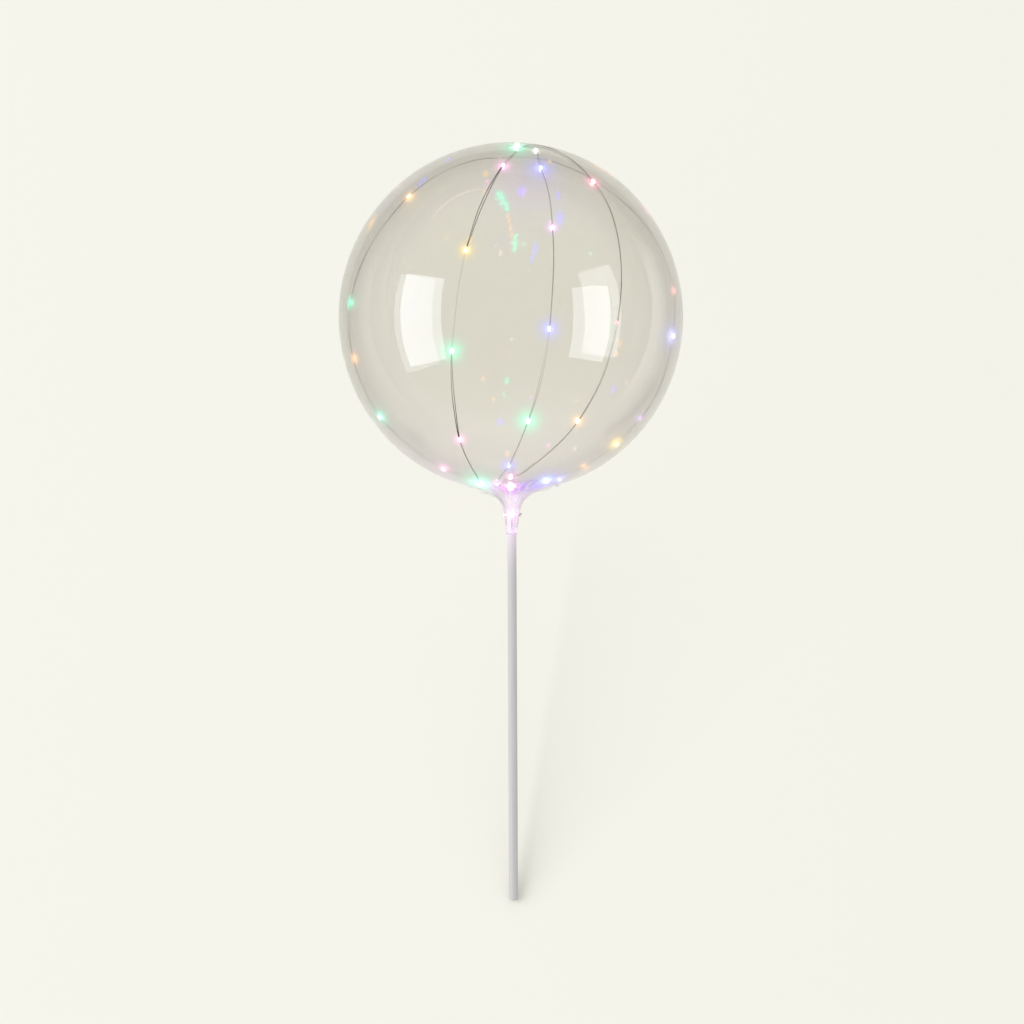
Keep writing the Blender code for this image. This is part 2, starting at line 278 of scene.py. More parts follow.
def onBall(lat, lon, light=None, lift=None):
    if lift is None:
        lift = string["lightLift"] if light else string["lift"]
    tilt = math.radians(lat)
    point = (ball["radius"] + lift) * math.cos(tilt) * around(lon)
    point.z = (ball["halfHeight"] + lift) * math.sin(tilt)
    return point, light, lift


def onNeck(drop, lon, light=None, lift=None):
    if lift is None:
        lift = string["bendLift"] if light else string["lift"]
    radius, outward = neckSurface(drop)
    point = (radius + lift * outward.x) * around(lon)
    point.z = -(drop + lift * outward.y)
    return point, light, lift


def ontoBall(point, lift):
    share = math.hypot(math.hypot(point.x, point.y) / (ball["radius"] + lift),
                       point.z / (ball["halfHeight"] + lift))
    return point / share


# from the first light, at the tie, to the last, at the crown
route = [
    onNeck(0.2055, 0),
    onNeck(0.1990, 0, lift=0.0020),
    onNeck(0.1912, 0, "pink", string["tieLift"]),
    onNeck(0.1845, -10, lift=0.0020),
    onNeck(0.1780, -38),
    onNeck(0.1735, -76),
    onNeck(0.1695, -108),
    onNeck(0.1645, -128),
    # up the left side, behind
    onBall(-65.0, -134),
    onBall(-59.4, -128.9, "pink"),
    onBall(-49.5, -121.9),
    onBall(-41.5, -117),
    onBall(-34.2, -112.5, "green"),
    onBall(-24, -111),
    onBall(-13.1, -109.9, "orange"),
    onBall(-4, -109.3),
    onBall(5.5, -110.8, "green"),
    onBall(15, -112.6),
    onBall(27, -116.3),
    onBall(36.2, -120),
    onBall(44.7, -123.9, "orange"),
    onBall(51.5, -127.6),
    onBall(57.5, -133),
    onBall(62.5, -141.5),
    # over the top, behind the crown
    onBall(65.8, -152),
    onBall(67.2, -163),
    onBall(66.9, -171.1, "orange"),
    onBall(68.0, 174.5),
    onBall(67.2, 160.5),
    onBall(64.4, 147.8, "yellow"),
    # down the right side, behind
    onBall(61, 139),
    onBall(56.5, 131.3),
    onBall(48.5, 123.8),
    onBall(41, 117.6),
    onBall(33, 112.5),
    onBall(24.2, 108.6),
    onBall(16.4, 106.8),
    onBall(8.9, 105.9, "red"),
    onBall(1.5, 107),
    onBall(-6.1, 109, "blue"),
    onBall(-16, 109.6),
    onBall(-26, 109.4),
    onBall(-35.3, 113, "violet"),
    onBall(-40.5, 115.3),
    onBall(-46.3, 118, "yellow"),
    onBall(-52.5, 121.5),
    onBall(-58.2, 127.2, "orange"),
    onBall(-62.9, 127),
    onBall(-66.6, 124),
    # round the neck to the front
    onNeck(0.1612, 112),
    onNeck(0.1640, 89),
    onNeck(0.1620, 62),
    onBall(-69.5, 34.5, "blue"),
    onBall(-68.8, 14),
    onNeck(0.1600, 0),
    onBall(-68.9, -7),
    onBall(-66, -0.8, "pink"),
    # up the right of the front
    onBall(-63, 7.9),
    onBall(-58.2, 12.9),
    onBall(-49, 21.3),
    onBall(-43.8, 25),
    onBall(-36.9, 28.2, "orange"),
    onBall(-29.2, 31.3),
    onBall(-21.4, 33.6),
    onBall(-13.5, 35.3),
    onBall(-3, 37.1, "red"),
    onBall(4.3, 38.6),
    onBall(12, 40.1),
    onBall(28.3, 43.2),
    onBall(36.5, 44.8),
    onBall(43.3, 45.8),
    onBall(48.4, 45.3, "red"),
    onBall(55, 46.9),
    onBall(63.9, 48.2),
    onBall(68.3, 48.8),
    # over the crown
    onBall(71.9, 47.9),
    onBall(74.7, 43.5),
    onBall(75.9, 33.2),
    onBall(74.9, 22.9),
    onBall(72, 12.9),
    onBall(68.2, 5.6),
    onBall(63.3, 0.5),
    # down the front, on the left
    onBall(56.8, -4.2, "pink"),
    onBall(51.9, -7),
    onBall(42.8, -10.4),
    onBall(35.1, -12.6),
    onBall(26.6, -14.4),
    onBall(20.8, -15.6, "yellow"),
    onBall(8.5, -17.4),
    onBall(-1.6, -18.5),
    onBall(-12.1, -20, "green"),
    onBall(-20, -21),
    onBall(-33.4, -22.5),
    onBall(-44.5, -24.3, "pink"),
    onBall(-54.7, -25.7),
    onBall(-61.1, -26.9),
    onBall(-65.9, -28.6),
    onNeck(0.1608, -35.4, "green"),
    # round the neck, over the first run and behind
    onNeck(0.1652, -56),
    onNeck(0.1683, -84, lift=0.0018),
    onNeck(0.1690, -112, lift=string["crossLift"]),
    onNeck(0.1684, -142),
    onNeck(0.1660, -178),
    onNeck(0.1622, 155),
    onBall(-68.2, 131.7, "blue"),
    onNeck(0.1634, 118),
    onNeck(0.1668, 92),
    onNeck(0.1680, 63),
    onNeck(0.1680, 37),
    onNeck(0.1665, 14),
    onNeck(0.1641, -1.5, "pink"),
    onNeck(0.1605, -14.9, "pink"),
    # up the middle of the front to the crown
    onBall(-66.7, -10),
    onBall(-63, -6),
    onBall(-58.2, -1.7, "blue"),
    onBall(-51.8, 1.6),
    onBall(-44.9, 4.3),
    onBall(-36.8, 6.8, "green"),
    onBall(-27.8, 9.2),
    onBall(-15.3, 11.4),
    onBall(-5.1, 12.6, "blue"),
    onBall(6.6, 13.7),
    onBall(17, 14.8),
    onBall(28.6, 15.7, "violet"),
    onBall(36, 16.6),
    onBall(43, 17.3),
    onBall(49.8, 17.7),
    onBall(55.5, 17.8, "blue"),
    onBall(61.8, 20.2),
    onBall(68.9, 24.2, "white"),
    onBall(71.6, 16, lift=string["crossLift"]),
    onBall(73.1, 7.6, "green", string["crossLift"]),
    onBall(73.5, -5),
]


def curvePoint(four, t):
    a, b, c, d = four
    return 0.5 * (2 * b + (c - a) * t + (2 * a - 5 * b + 4 * c - d) * t * t
                  + (3 * b - a - 3 * c + d) * t ** 3)


def stringLine():
    # even points along the string, and each light's place along it
    points = [point for point, light, lift in route]
    padded = [2 * points[0] - points[1]] + points + [2 * points[-1] - points[-2]]
    neckTop = ballPoint(math.radians(ball["flareLatitude"])).y
    fine = []
    marks = []
    for i, (point, light, lift) in enumerate(route[:-1]):
        if light:
            marks.append((len(fine), light))
        nextLift = route[i + 1][2]
        for j in range(string["samples"]):
            t = j / string["samples"]
            p = curvePoint(padded[i:i + 4], t)
            if p.z >= neckTop:
                p = ontoBall(p, lift + (nextLift - lift) * t)
            fine.append(p)
    fine.append(points[-1])
    lengths = [0.0]
    for upper, lower in zip(fine, fine[1:]):
        lengths.append(lengths[-1] + (lower - upper).length)
    count = round(lengths[-1] / string["step"])
    line = []
    reach = 0
    for i in range(count + 1):
        distance = lengths[-1] * i / count
        while reach < len(fine) - 2 and lengths[reach + 1] < distance:
            reach += 1
        share = (distance - lengths[reach]) / (lengths[reach + 1] - lengths[reach])
        line.append(fine[reach].lerp(fine[reach + 1], min(1.0, share)))
    lights = []
    for index, light in marks:
        before = fine[max(0, index - string["reach"])]
        after = fine[index + string["reach"]]
        lights.append((fine[index], (after - before).normalized(), light, lengths[index]))
    return line, lights, lengths[-1]


line, lights, stringLength = stringLine()
print("string %.3f m, %d lights" % (stringLength, len(lights)))


# film

film = {
    "thickness": 0.00025,
    "sides": 216,
    "ballRings": 96,
    "flatHeight": 0.0003,      # underside of the film where it rests
    "folds": 19,               # gathers round the neck
    "foldStart": 0.156,
    "foldDepth": 0.085,
    "tailFoldHeight": 0.07,
    "roughness": 0.02,
    "ior": 1.42,
    # tint by how far the film turns away: 0 facing, 1 edge on
    "tints": [(0.20, (0.880, 0.870, 0.835)),
              (0.29, (0.858, 0.839, 0.819)),
              (0.40, (0.788, 0.770, 0.748)),
              (0.47, (0.738, 0.722, 0.698)),
              (0.565, (0.656, 0.642, 0.617)),
              (0.635, (0.612, 0.597, 0.574)),
              (0.693, (0.598, 0.583, 0.560)),
              (0.715, (0.680, 0.663, 0.636))],
    "near": 0.32,              # strength of the glow close to a light
    "nearReach": 0.0034,
    "depth": 0.5,              # glows are drawn out this much from front to back
    "sparkleScale": 620.0,
    # glows over a wider part: middle, reach, colour
    "patches": [((0.000, -0.020, -0.160), 0.034, (0.055, 0.036, 0.072)),
                ((0.000, -0.012, -0.174), 0.011, (0.050, 0.058, 0.060)),
                ((0.000, -0.004, -0.183), 0.009, (0.035, 0.025, 0.045)),
                ((0.000, 0.000, -0.192), 0.009, (0.040, 0.050, 0.045)),
                ((0.000, 0.000, -0.213), 0.010, (0.100, 0.078, 0.110)),
                ((0.000, 0.000, -0.211), 0.0075, (0.110, 0.070, 0.125)),
                ((0.006, -0.014, -0.172), 0.013, (0.035, 0.018, 0.045)),
                ((-0.001, -0.042, -0.164), 0.0048, (0.450, 0.430, 0.450)),
                ((-0.110, 0.000, 0.120), 0.050, (0.003, 0.000, 0.016)),
                ((-0.065, 0.000, -0.150), 0.045, (0.004, 0.000, 0.018)),
                ((0.019, -0.115, 0.122), 0.036, (0.004, 0.000, 0.032))],
    # painted shade: darker patches that stand for reflections of the room, and a lilac cast of the
    # lights at the crown: middle, reach, what they take
    "paintedShades": [((0.095, -0.083, -0.110), 0.0095, (0.91, 0.90, 0.90)),
                ((0.107, -0.079, -0.102), 0.0095, (0.91, 0.90, 0.90)),
                ((0.118, -0.075, -0.091), 0.0095, (0.91, 0.90, 0.90)),
                ((0.127, -0.071, -0.081), 0.0090, (0.93, 0.92, 0.92)),
                ((0.134, -0.068, -0.070), 0.0090, (0.95, 0.94, 0.94)),
                ((-0.093, -0.078, -0.117), 0.014, (0.93, 0.92, 0.93)),
                ((0.019, -0.115, 0.122), 0.036, (0.960, 0.935, 0.990))],
    # light of the lower part, and of the paler band inside the edge: colour, the heights over
    # which it comes in, and those over which it goes at the neck
    "lower": ((0.026, 0.0235, 0.028), (-0.03, -0.165), (-0.178, -0.166)),
    "band": ((0.024, 0.0222, 0.024), (0.11, -0.03), (-0.176, -0.166)),
    # how far the film turns away where the band comes in and goes
    "bandFacing": ((0.28, 0.52), (0.705, 0.650)),
    # more of the band on the right: colour, places sideways, heights
    "bandSide": ((0.004, 0.004, 0.005), (0.05, 0.14), (-0.15, -0.08)),
    # painted reflections: pale crescents on both sides of the front, between two circles
    "crescent": {"across": 0.0107, "high": 0.0048, "inner": (0.1242, 0.1254),
                 "outer": (0.141, 0.1275), "leftShare": 0.5, "top": (0.085, 0.035),
                 "bottom": (-0.100, -0.050), "colour": (0.034, 0.032, 0.034)},
    # a thin pale arc at the upper left, a crease with its highlight painted as light
    "arc": {"across": -0.0216, "high": 0.0563, "inner": (0.0632, 0.0641),
            "outer": (0.0650, 0.0641), "left": (-0.079, -0.070), "right": (-0.018, -0.040),
            "bottom": (0.085, 0.095), "colour": (0.075, 0.055, 0.060)},
    # painted glints of fine scratches: middle, reach, colour
    "scratchGlints": ((-0.110, -0.123, 0.030), 0.030, (0.150, 0.145, 0.135)),
    # painted light of the lights in the gathers round the neck, as a glow and a cast on the film's
    # colour: middle, reach, glow, what it takes from the film
    "gathers": [((0.018, -0.034, -0.165), 0.018, (0.000, 0.000, 0.220), (0.48, 0.24, 1.00)),
                ((-0.014, -0.034, -0.165), 0.013, (0.110, 0.000, 0.150), (0.96, 0.48, 1.00))],
    "gatherScale": 13.0,
    # finer creases that fan out from the neck, painted lighter with light and darker with shade:
    # middle, reach, scale, glow, what they take
    "creases": ((0.000, -0.004, -0.170), 0.030, 34.0, (0.030, 0.018, 0.050), (0.84, 0.78, 0.92)),
    "waveScale": 26.0,
    # size of a light's glow where it isn't 1, by the light's number
    "glowSizes": {1: 1.1, 2: 1.5, 3: 1.0, 4: 1.15, 5: 0.65, 6: 1.3, 7: 0.2, 8: 0.4, 9: 0.85,
                  10: 1.4, 11: 0.6, 12: 1.45, 13: 0.7, 14: 1.3, 17: 0.4, 18: 1.4, 19: 1.3,
                  21: 0.95, 23: 1.5, 24: 1.2, 25: 1.7, 26: 1.1, 27: 0.8, 31: 1.3, 32: 1.0, 33: 1.3},
    # brighter, sparkling glows of the lights near the edge: reach and colour
    "sparkles": {
        2: (0.0045, (0.40, 0.16, 0.24)),
        3: (0.0050, (0.06, 0.50, 0.52)),
        4: (0.0046, (0.55, 0.16, 0.04)),
        5: (0.0034, (0.02, 0.28, 0.14)),
        6: (0.0046, (0.38, 0.20, 0.02)),
        9: (0.0042, (0.36, 0.13, 0.02)),
        10: (0.0064, (0.28, 0.28, 0.60)),
        11: (0.0048, (0.12, 0.09, 0.30)),
        12: (0.0056, (0.50, 0.38, 0.05)),
        13: (0.0045, (0.20, 0.10, 0.04)),
        14: (0.0052, (0.22, 0.42, 0.48)),
        23: (0.0072, (0.18, 0.50, 0.42)),
        24: (0.0045, (0.25, 0.28, 0.50)),
        33: (0.0055, (0.22, 0.45, 0.38)),
    },
    # how the painted reflections of the lights are drawn out, and how ragged they are
    "markStretch": (1.0, 0.5, 0.55),
    "markRagged": 0.006,
    "markScale": 260.0,
    # painted reflections of the lights, small streaks of their colours on the film: latitude,
    # longitude and size
    "marks": {
        "green": [(42.1, -5.6, 0.24), (41.2, -4.4, 0.32), (39.7, -3.2, 0.32), (37.9, -2.1, 0.26),
                  (36.2, -1.2, 0.20), (25.3, 1.9, 0.17), (23.4, 1.7, 0.27), (21.6, 1.4, 0.23),
                  (-22.4, -1.6, 0.17), (-27.3, -2.7, 0.12), (4.3, -69.3, 0.3)],
        "orange": [(33.4, -0.9, 0.20), (31.0, -0.5, 0.26), (28.6, -0.1, 0.28), (26.2, 0.4, 0.24),
                   (43.5, -11.8, 0.26), (-21.6, -9.9, 0.24), (-52.0, -2.4, 0.34), (57.7, 76.5, 0.9),
                   (53.7, 80.4, 0.7), (-60.8, 61.8, 0.50), (-9.9, 39.1, 0.28), (-13.0, 38.5, 0.22),
                   (-28.9, -6.6, 0.18)],
        "violet": [(43.6, 5.7, 0.4), (-28.1, 7.3, 0.2)],
        "yellow": [(52.7, -13.5, 0.34), (32.2, -72.1, 0.7), (24.0, -14.9, 0.34),
                   (18.6, -16.0, 0.30)],
        "pink": [(48.4, -11.6, 0.34), (-47.8, 18.4, 0.28), (-63.3, 5.0, 0.30)],
        "red": [(36.7, 79.0, 0.7)],
        "blue": [(32.6, 19.5, 0.42), (41.8, 21.5, 0.24), (22.2, 9.1, 0.24), (20.6, 8.6, 0.24),
                 (17.8, 7.3, 0.20), (-25.1, 40.3, 0.24), (-37.5, -4.5, 0.26), (50.6, -51.8, 0.30),
                 (48.3, -51.4, 0.26), (63.0, -52.3, 0.26), (44.0, 5.0, 0.35)],
        "white": [(19.7, -3.5, 0.34), (-49.4, 33.9, 0.35), (-22.6, 46.0, 0.35), (-8.7, 0.2, 0.25)],
    },
}

# for each colour: the light itself, its glow on the film, what the glow takes from the film's
# colour, and how far it reaches
lightLook = {
    "green": {"colour": (0.50, 1.00, 0.80), "glow": (0.00, 0.20, 0.085),
              "dimmed": (0.78, 1.00, 1.00), "reach": 0.0102},
    "pink": {"colour": (1.00, 0.42, 0.80), "glow": (0.14, 0.01, 0.11),
             "dimmed": (1.00, 0.97, 1.00), "reach": 0.0066},
    "blue": {"colour": (0.35, 0.50, 1.00), "glow": (0.00, 0.00, 0.23),
             "dimmed": (0.96, 0.95, 1.00), "reach": 0.0092},
    "violet": {"colour": (0.90, 0.50, 1.00), "glow": (0.075, 0.00, 0.15),
               "dimmed": (1.00, 0.98, 1.00), "reach": 0.0058},
    "yellow": {"colour": (1.00, 0.85, 0.25), "glow": (0.135, 0.055, 0.00),
               "dimmed": (1.00, 1.00, 0.75), "reach": 0.0076},
    "orange": {"colour": (1.00, 0.66, 0.35), "glow": (0.130, 0.035, 0.00),
               "dimmed": (1.00, 1.00, 0.90), "reach": 0.0070},
    "red": {"colour": (1.00, 0.35, 0.45), "glow": (0.17, 0.010, 0.060),
            "dimmed": (1.00, 0.94, 1.00), "reach": 0.0060},
    "white": {"colour": (1.00, 0.85, 0.75), "glow": (0.10, 0.085, 0.075),
              "dimmed": (1.00, 1.00, 1.00), "reach": 0.0040},
}


def bell(away, reach):
    # 1 at the middle, falling off smoothly
    share = away / reach
    return share.math("EXPONENT", -1.0 * share * share)


black = (0.0, 0.0, 0.0, 1.0)
white = (1.0, 1.0, 1.0, 1.0)


def filmMaterial():
    made, feed, place = newMaterial("clearFilm", Roughness=film["roughness"], IOR=film["ior"],
                                    Transmission_Weight=1.0, Emission_Strength=1.0)
    facing = place.node("ShaderNodeLayerWeight", None, {"Blend": 0.5}, 1)
    tint = facing.node("ShaderNodeValToRGB", {"stops": film["tints"]}, {"Fac": facing})
    glow = place.vector("MULTIPLY", (0.0, 0.0, 0.0))
    squeeze = Vector((1.0, film["depth"], 1.0))
    squeezed = place.vector("MULTIPLY", tuple(squeeze))
    sparkle = 0.5 + place.noise(film["sparkleScale"]).between(0.35, 0.65)
    stretch = Vector(film["markStretch"])
    ragged = place.vector("MULTIPLY", tuple(stretch)).vector(
        "ADD", film["markRagged"] * (place.noise(film["markScale"]) - 0.5))
    for name, look in lightLook.items():
        nearest = None
        for number, (point, direction, light, distance) in enumerate(lights, start=1):
            if light != name:
                continue
            away = squeezed.vector("DISTANCE", tuple(squeeze * point))
            away = away / film["glowSizes"].get(number, 1.0)
            nearest = away if nearest is None else nearest.smallest(away)
        near = [film["near"] * c for c in look["colour"]]
        close = bell(nearest, film["nearReach"]) * sparkle
        # the painted reflections of the lights join the glow of their colour
        for lat, lon, size in film["marks"].get(name, []):
            point = stretch * onBall(lat, lon, lift=0.0)[0]
            nearest = nearest.smallest(ragged.vector("DISTANCE", tuple(point)) / size)
        share = bell(nearest, look["reach"])
        glow = glow.vector("ADD", share.mixed(black, rgba(look["glow"])))
        glow = glow.vector("ADD", close.mixed(black, rgba(near)))
        tint = tint.vector("MULTIPLY", share.mixed(white, rgba(look["dimmed"])))
    for number, (reach, colour) in film["sparkles"].items():
        point = squeeze * lights[number - 1][0]
        share = bell(squeezed.vector("DISTANCE", tuple(point)), reach) * sparkle
        glow = glow.vector("ADD", share.mixed(black, rgba(colour)))
    for middle, reach, colour in film["patches"]:
        share = bell(place.vector("DISTANCE", middle), reach)
        glow = glow.vector("ADD", share.mixed(black, rgba(colour)))
    # painted shade over the film's colour: darker patches for reflections of the room, and the
    # lights' lilac cast at the crown
    for middle, reach, colour in film["paintedShades"]:
        share = bell(place.vector("DISTANCE", middle), reach)
        tint = tint.vector("MULTIPLY", share.mixed(white, rgba(colour)))
    # painted light: the paler lower part, the band inside the edge, the crescent reflections, the
    # crease's highlight and the scratch glints
    height = place.vector("DOT_PRODUCT", (0.0, 0.0, 1.0))
    sideways = place.vector("DOT_PRODUCT", (1.0, 0.0, 0.0))
    toBack = place.vector("DOT_PRODUCT", (0.0, 1.0, 0.0))
    colour, comes, goes = film["lower"]
    lower = height.between(*comes) * height.between(*goes)
    glow = glow.vector("ADD", lower.mixed(black, rgba(colour)))
    colour, comes, goes = film["band"]
    inner, outer = film["bandFacing"]
    band = (facing.between(*inner) * facing.between(*outer) * height.between(*comes)
            * height.between(*goes))
    glow = glow.vector("ADD", band.mixed(black, rgba(colour)))
    colour, places, heights = film["bandSide"]
    onSide = band * sideways.between(*places) * height.between(*heights)
    glow = glow.vector("ADD", onSide.mixed(black, rgba(colour)))
    flat = place.vector("MULTIPLY", (1.0, 0.0, 1.0))
    # painted reflections, the pale crescents on both sides of the front
    shape = film["crescent"]
    away = flat.vector("DISTANCE", (shape["across"], 0.0, shape["high"])).smallest(
        flat.vector("DISTANCE", (-shape["across"], 0.0, shape["high"])))
    share = shape["leftShare"] + (1 - shape["leftShare"]) * sideways.between(-0.05, 0.05)
    crescent = (away.between(*shape["inner"]) * away.between(*shape["outer"]) * share
                * toBack.between(0.01, -0.01) * height.between(*shape["top"])
                * height.between(*shape["bottom"]))
    glow = glow.vector("ADD", crescent.mixed(black, rgba(shape["colour"])))
    # the crease's painted highlight, a thin pale arc at the upper left
    shape = film["arc"]
    away = flat.vector("DISTANCE", (shape["across"], 0.0, shape["high"]))
    arc = (away.between(*shape["inner"]) * away.between(*shape["outer"])
           * toBack.between(0.0, -0.01) * sideways.between(*shape["left"])
           * sideways.between(*shape["right"]) * height.between(*shape["bottom"]))
    glow = glow.vector("ADD", arc.mixed(black, rgba(shape["colour"])))
    # painted glints of fine scratches, added to the glow
    middle, reach, colour = film["scratchGlints"]
    drawn = place.vector("MULTIPLY", (1.0, 1.0, 0.45)).noise(800.0)
    scratchGlint = drawn.between(0.60, 0.70) * bell(place.vector("DISTANCE", middle), reach)
    glow = glow.vector("ADD", scratchGlint.mixed(black, rgba(colour)))
    # painted light and shade in streaks that run out from the neck
    level = place.vector("MULTIPLY", (1.0, 1.0, 0.0)).vector("NORMALIZE", None)
    streaks = level.vector("ADD", place.vector("MULTIPLY", (2.0, 2.0, 6.0)))
    streaks = streaks.noise(film["gatherScale"], 3.0).between(0.38, 0.60)
    # painted light of the lights in the gathers, a glow and a cast on the film's colour
    for middle, reach, colour, taken in film["gathers"]:
        share = bell(place.vector("DISTANCE", middle), reach) * streaks
        glow = glow.vector("ADD", share.mixed(black, rgba(colour)))
        tint = tint.vector("MULTIPLY", share.mixed(white, rgba(taken)))
    # painted light and shade along the finer creases
    middle, reach, scale, colour, taken = film["creases"]
    fine = level.vector("ADD", place.vector("MULTIPLY", (3.0, 3.0, 5.0)))
    share = bell(place.vector("DISTANCE", middle), reach)
    crease = fine.noise(scale, 3.0)
    glow = glow.vector("ADD", (share * crease.between(0.50, 0.60)).mixed(black, rgba(colour)))
    tint = tint.vector("MULTIPLY",
                       (share * crease.between(0.46, 0.36)).mixed(white, rgba(taken)))
    feed("Base Color", tint)
    feed("Emission Color", glow)
    wave = place.noise(film["waveScale"])
    feed("Normal", wave.bump(0.15, 0.0006))
    made.cycles.emission_sampling = "NONE"
    return made


def foldShare(angle, drop):
    # how deep the gathers are at a place on the neck: 0 to 1
    count = film["folds"]
    first = abs(math.sin(count * angle / 2 + 0.6 * math.sin(3 * angle) + 9.0 * (drop - 0.17)))
    second = abs(math.sin((count + 8) * angle / 2 + 0.9 * math.sin(2 * angle + 1.0)))
    return 0.65 * (1 - first ** 0.7) + 0.35 * (1 - second ** 0.7)


def filmBall():
    outline = []
    for i in range(1, film["ballRings"]):
        angle = math.pi / 2 + (math.radians(ball["flareLatitude"]) - math.pi / 2) * (
            i / film["ballRings"])
        edge = ballPoint(angle)
        outline.append(Vector((edge.x, -edge.y)))
    outline += neckOutline
    sides = film["sides"]
    points = [Vector((0.0, 0.0, ball["halfHeight"]))]
    for ring in outline:
        depth = film["foldDepth"] * smooth((ring.y - film["foldStart"]) / 0.022)
        outward = smooth((ring.y - ball["waistDrop"] - 0.001) / 0.004)
        for k in range(sides):
            turn = 2 * math.pi * k / sides
            share = foldShare(turn, ring.y) if depth > 0 else 0.0
            inner = 1 - depth * share
            outer = 1 + film["tailFoldHeight"] * (1 - share)
            radius = ring.x * (inner + (outer - inner) * outward)
            points.append(radius * around(math.degrees(turn)) + Vector((0.0, 0.0, -ring.y)))
    faces = [(0, 1 + (k + 1) % sides, 1 + k) for k in range(sides)]
    for i in range(len(outline) - 1):
        for k in range(sides):
            a = 1 + i * sides + k
            b = 1 + i * sides + (k + 1) % sides
            faces.append((a, b, b + sides, a + sides))
    back = lay.inverted()
    for i, point in enumerate(points):
        world = lay @ point
        if world.z < film["flatHeight"]:
            world.z = film["flatHeight"]
            points[i] = back @ world
    made = meshObject("filmBall", [tuple(p) for p in points], faces, filmMaterial())
    skin = made.modifiers.new("skin", "SOLIDIFY")
    skin.thickness = film["thickness"]
    skin.offset = -1.0
    made.visible_shadow = False
    made.visible_diffuse = False
    return ride(made, "film", "balloon")


def smooth(share):
    share = min(1.0, max(0.0, share))
    return share * share * (3 - 2 * share)


filmBall()
print("film")


# wire, two thin strands

wire = {
    "strandRadius": 0.00014,
    "strandGap": 0.00030,      # from the middle of the wire to each strand
    "strandSides": 6,
    "twist": 0.085,            # length of one turn of the strands round each other
    # where the two strands have come apart: first light, last light, widest distance
    "openings": [(19, 20, 0.0018), (21, 22, 0.0014), (28, 29, 0.0014), (16, 17, 0.0006)],
    "colour": (0.030, 0.024, 0.018),
    "lighterPatches": (0.11, 0.085, 0.06),
    "roughness": 0.42,
    # thickness of the strands, at the start and the end of the run after each light
    "usual": 0.65,
    "runs": {1: (0.12, 0.8), 2: (0.5, 0.9), 3: (1.4, 1.6), 4: (1.6, 1.8), 5: (2.2, 1.5),
             6: (1.6, 1.4), 7: (1.0, 1.2), 8: (1.4, 1.2), 9: (1.2, 0.7), 10: (0.3, 2.6),
             11: (0.6, 0.5), 12: (0.5, 0.4), 13: (0.6, 0.3), 14: (0.3, 0.3), 15: (0.9, 1.3),
             16: (1.5, 0.6), 17: (1.3, 1.3), 18: (1.2, 0.8), 19: (2.6, 2.0), 20: (0.35, 0.35),
             21: (1.1, 2.9), 22: (1.4, 0.8), 23: (0.3, 0.4), 24: (0.3, 0.3), 27: (0.7, 1.0),
             28: (1.3, 0.25), 29: (1.0, 1.1), 30: (0.9, 0.7)},
}


def wireMaterial():
    made, feed, place = newMaterial("lacqueredWire", Metallic=0.3, Specular_IOR_Level=0.3)
    # darker and lighter in patches at random along the wire
    patches = place.noise(160.0, 3.0)
    feed("Base Color", patches.between(0.35, 0.7).mixed(rgba(wire["colour"]),
                                                       rgba(wire["lighterPatches"])))
    feed("Roughness", wire["roughness"] + 0.2 * patches)
    return made


def thickness(distance):
    # share of the usual strand's radius at a distance along the string
    passed = [index for index, light in enumerate(lights) if light[3] <= distance]
    if not passed or passed[-1] == len(lights) - 1:
        return wire["usual"]
    index = passed[-1]
    start, end = wire["runs"].get(index + 1, (wire["usual"], wire["usual"]))
    length = lights[index + 1][3] - lights[index][3]
    return start + (end - start) * (distance - lights[index][3]) / length


def tube(line, radii, sides):
    # points and faces of a round tube along a line, with a radius at each point and closed ends
    points = []
    faces = []
    count = len(line)
    side = Vector((0.0, 0.0, 1.0))
    for i, centre in enumerate(line):
        along = (line[min(i + 1, count - 1)] - line[max(i - 1, 0)]).normalized()
        side = side - side.dot(along) * along
        if side.length < 1e-6:
            side = along.orthogonal()
        side.normalize()
        other = along.cross(side)
        for k in range(sides):
            turn = 2 * math.pi * k / sides
            points.append(centre + radii[i] * (math.cos(turn) * side + math.sin(turn) * other))
    for i in range(count - 1):
        for k in range(sides):
            a = i * sides + k
            b = i * sides + (k + 1) % sides
            faces.append((a, b, b + sides, a + sides))
    faces.append(tuple(range(sides))[::-1])
    last = (count - 1) * sides
    faces.append(tuple(range(last, last + sides)))
    return points, faces


def outwardAt(point):
    # away from the film, roughly
    if point.z > -0.16:
        return Vector((point.x / ball["radius"] ** 2, point.y / ball["radius"] ** 2,
                       point.z / ball["halfHeight"] ** 2)).normalized()
    level = Vector((point.x, point.y, 0.0)).normalized()
    outward = neckSurface(-point.z)[1]
    return (level * outward.x + Vector((0.0, 0.0, -outward.y))).normalized()


def stringWire():
    strands = [[], []]
    radii = []
    total = len(line) - 1
    for i, centre in enumerate(line):
        distance = stringLength * i / total
        along = (line[min(i + 1, total)] - line[max(i - 1, 0)]).normalized()
        outward = outwardAt(centre)
        across = along.cross(outward).normalized()
        gap = wire["strandGap"]
        for first, last, widest in wire["openings"]:
            start = lights[first - 1][3]
            end = lights[last - 1][3]
            if start < distance < end:
                gap += widest / 2 * math.sin(math.pi * (distance - start) / (end - start)) ** 1.5
        turn = 0.0
        if gap < 1.2 * wire["strandGap"]:
            turn = 0.5 * math.sin(2 * math.pi * distance / wire["twist"])
        offset = gap * (math.cos(turn) * across + math.sin(turn) * outward)
        radii.append(wire["strandRadius"] * thickness(distance))
        strands[0].append(centre + offset)
        strands[1].append(centre - offset)
    points = []
    faces = []
    for strand in strands:
        more, moreFaces = tube(strand, radii, wire["strandSides"])
        faces += [tuple(index + len(points) for index in face) for face in moreFaces]
        points += more
    made = meshObject("stringWire", [tuple(p) for p in points], faces, wireMaterial())
    return ride(made, "wire", "light_wire")


stringWire()
print("wire")


# lights, drops of clear resin

